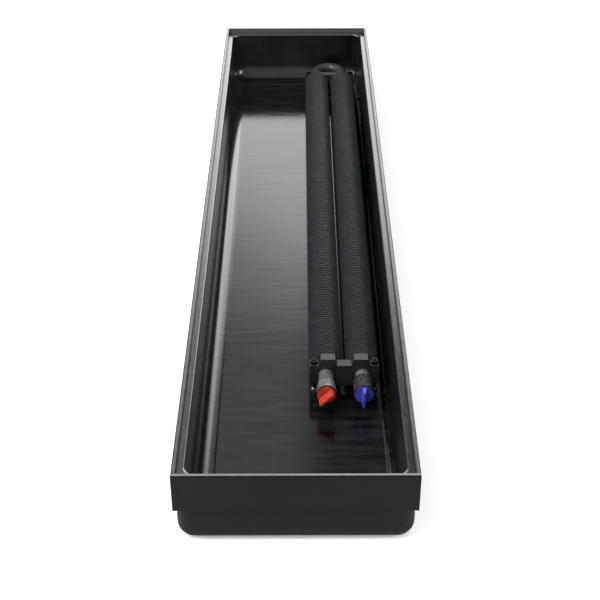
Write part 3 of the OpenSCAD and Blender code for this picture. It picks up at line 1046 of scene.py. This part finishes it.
# %% The light
light_place = Vector((-1.6, -1.2, 2.6))
light = bpy.data.lights.new("key_light", "AREA")
light.shape = "RECTANGLE"
light.size = light.size_y = 1.4
light.energy = 90
lamp = bpy.data.objects.new("key_light", light)
bpy.context.scene.collection.objects.link(lamp)
lamp.location = light_place
lamp.rotation_euler = (-light_place).to_track_quat("-Z", "Y").to_euler()
print("light:", light.energy, "W from", round(light_place.length, 2), "m away")

# %% The room
# The room is white all round. Low beyond the far end stands a wide bright panel, and a brighter
# one to the right of it. Two dark screens above them shade the right side and the floor's left,
# and a small lamp at either hand puts a glint in the tray's far corners. Each is a window on the
# direction that a ray leaves in, with soft edges: where it starts, and where it is full.
world = bpy.data.worlds.new("studio_air")
bpy.context.scene.world = world
world.use_nodes = True
ahead_only = ("Y", 0.3, 0.5)
room_light = 0.8
toward = add(world, "ShaderNodeSeparateXYZ",
             links={"Vector": add(world, "ShaderNodeTexCoord").outputs["Generated"]})


def window(amount, *edges):
    """A patch of the sky between soft edges along X, Y or Z, times an amount."""
    patch = add(world, "ShaderNodeValue").outputs[0]
    patch.default_value = amount
    for direction, start, full in edges:
        patch = add(world, "ShaderNodeMath", operation="MULTIPLY", links={
            0: patch, 1: spread(world, toward.outputs[direction], 0, 1, start, full)}).outputs[0]
    return patch


far_panel = window(2.8, ahead_only, ("X", -0.3, -0.2), ("X", 0.32, 0.22),
                   ("Z", 0.08, 0.14), ("Z", 0.585, 0.485))
right_panel = window(3.8, ahead_only, ("X", 0.12, 0.3), ("X", 0.6, 0.48),
                     ("Z", 0.04, 0.1), ("Z", 0.56, 0.42))
right_screen = window(-0.7, ahead_only, ("X", 0.0, 0.02), ("X", 0.13, 0.095),
                      ("Z", 0.52, 0.58), ("Z", 0.85, 0.72))
left_screen = window(-1.1, ahead_only, ("X", -0.005, -0.055), ("X", -0.5, -0.4),
                     ("Z", 0.44, 0.5), ("Z", 0.6, 0.5))
beside = (("Y", -0.3, -0.2), ("Y", 0.14, 0.06), ("Z", 0.26, 0.32), ("Z", 0.48, 0.42))
right_lamp = window(24, ("X", 0.84, 0.9), *beside)
left_lamp = window(12, ("X", -0.84, -0.9), *beside)
glow = window(room_light)
patches = (far_panel, right_panel, right_screen, left_screen, right_lamp, left_lamp)
for patch in patches:
    glow = add(world, "ShaderNodeMath", operation="ADD", links={0: glow, 1: patch}).outputs[0]
background = world.node_tree.nodes["Background"]
background.inputs["Color"].default_value = (1, 1, 1, 1)
world.node_tree.links.new(glow, background.inputs["Strength"])
print("patches on the room:", len(patches))

# %% The camera
# It was fitted to the frame's straight edges: a 75 mm lens, 1.86 m away and looking down 33.5°.
camera_data = bpy.data.cameras.new("portrait_camera")
camera_data.sensor_width = 36
camera_data.lens = 74.82
camera_data.clip_end = 50
camera = bpy.data.objects.new("portrait_camera", camera_data)
bpy.context.scene.collection.objects.link(camera)
pitch_down, yaw, roll = math.radians(33.512), math.radians(0.031), math.radians(-0.1187)
ahead = Vector((math.sin(yaw) * math.cos(pitch_down), math.cos(yaw) * math.cos(pitch_down),
                -math.sin(pitch_down)))
right = ahead.cross(Vector((0, 0, 1))).normalized()
up = right.cross(ahead)
right, up = (math.cos(roll) * right + math.sin(roll) * up,
             -math.sin(roll) * right + math.cos(roll) * up)
camera_place = Vector((0.004303, -1.59603, 0.955))
camera.matrix_world = Matrix.Translation(camera_place) @ Matrix(
    (right, up, -ahead)).transposed().to_4x4()
bpy.context.scene.camera = camera
print("camera:", round(camera_place.length, 2), "m from the middle")
bpy.context.scene.view_settings.view_transform = "Standard"
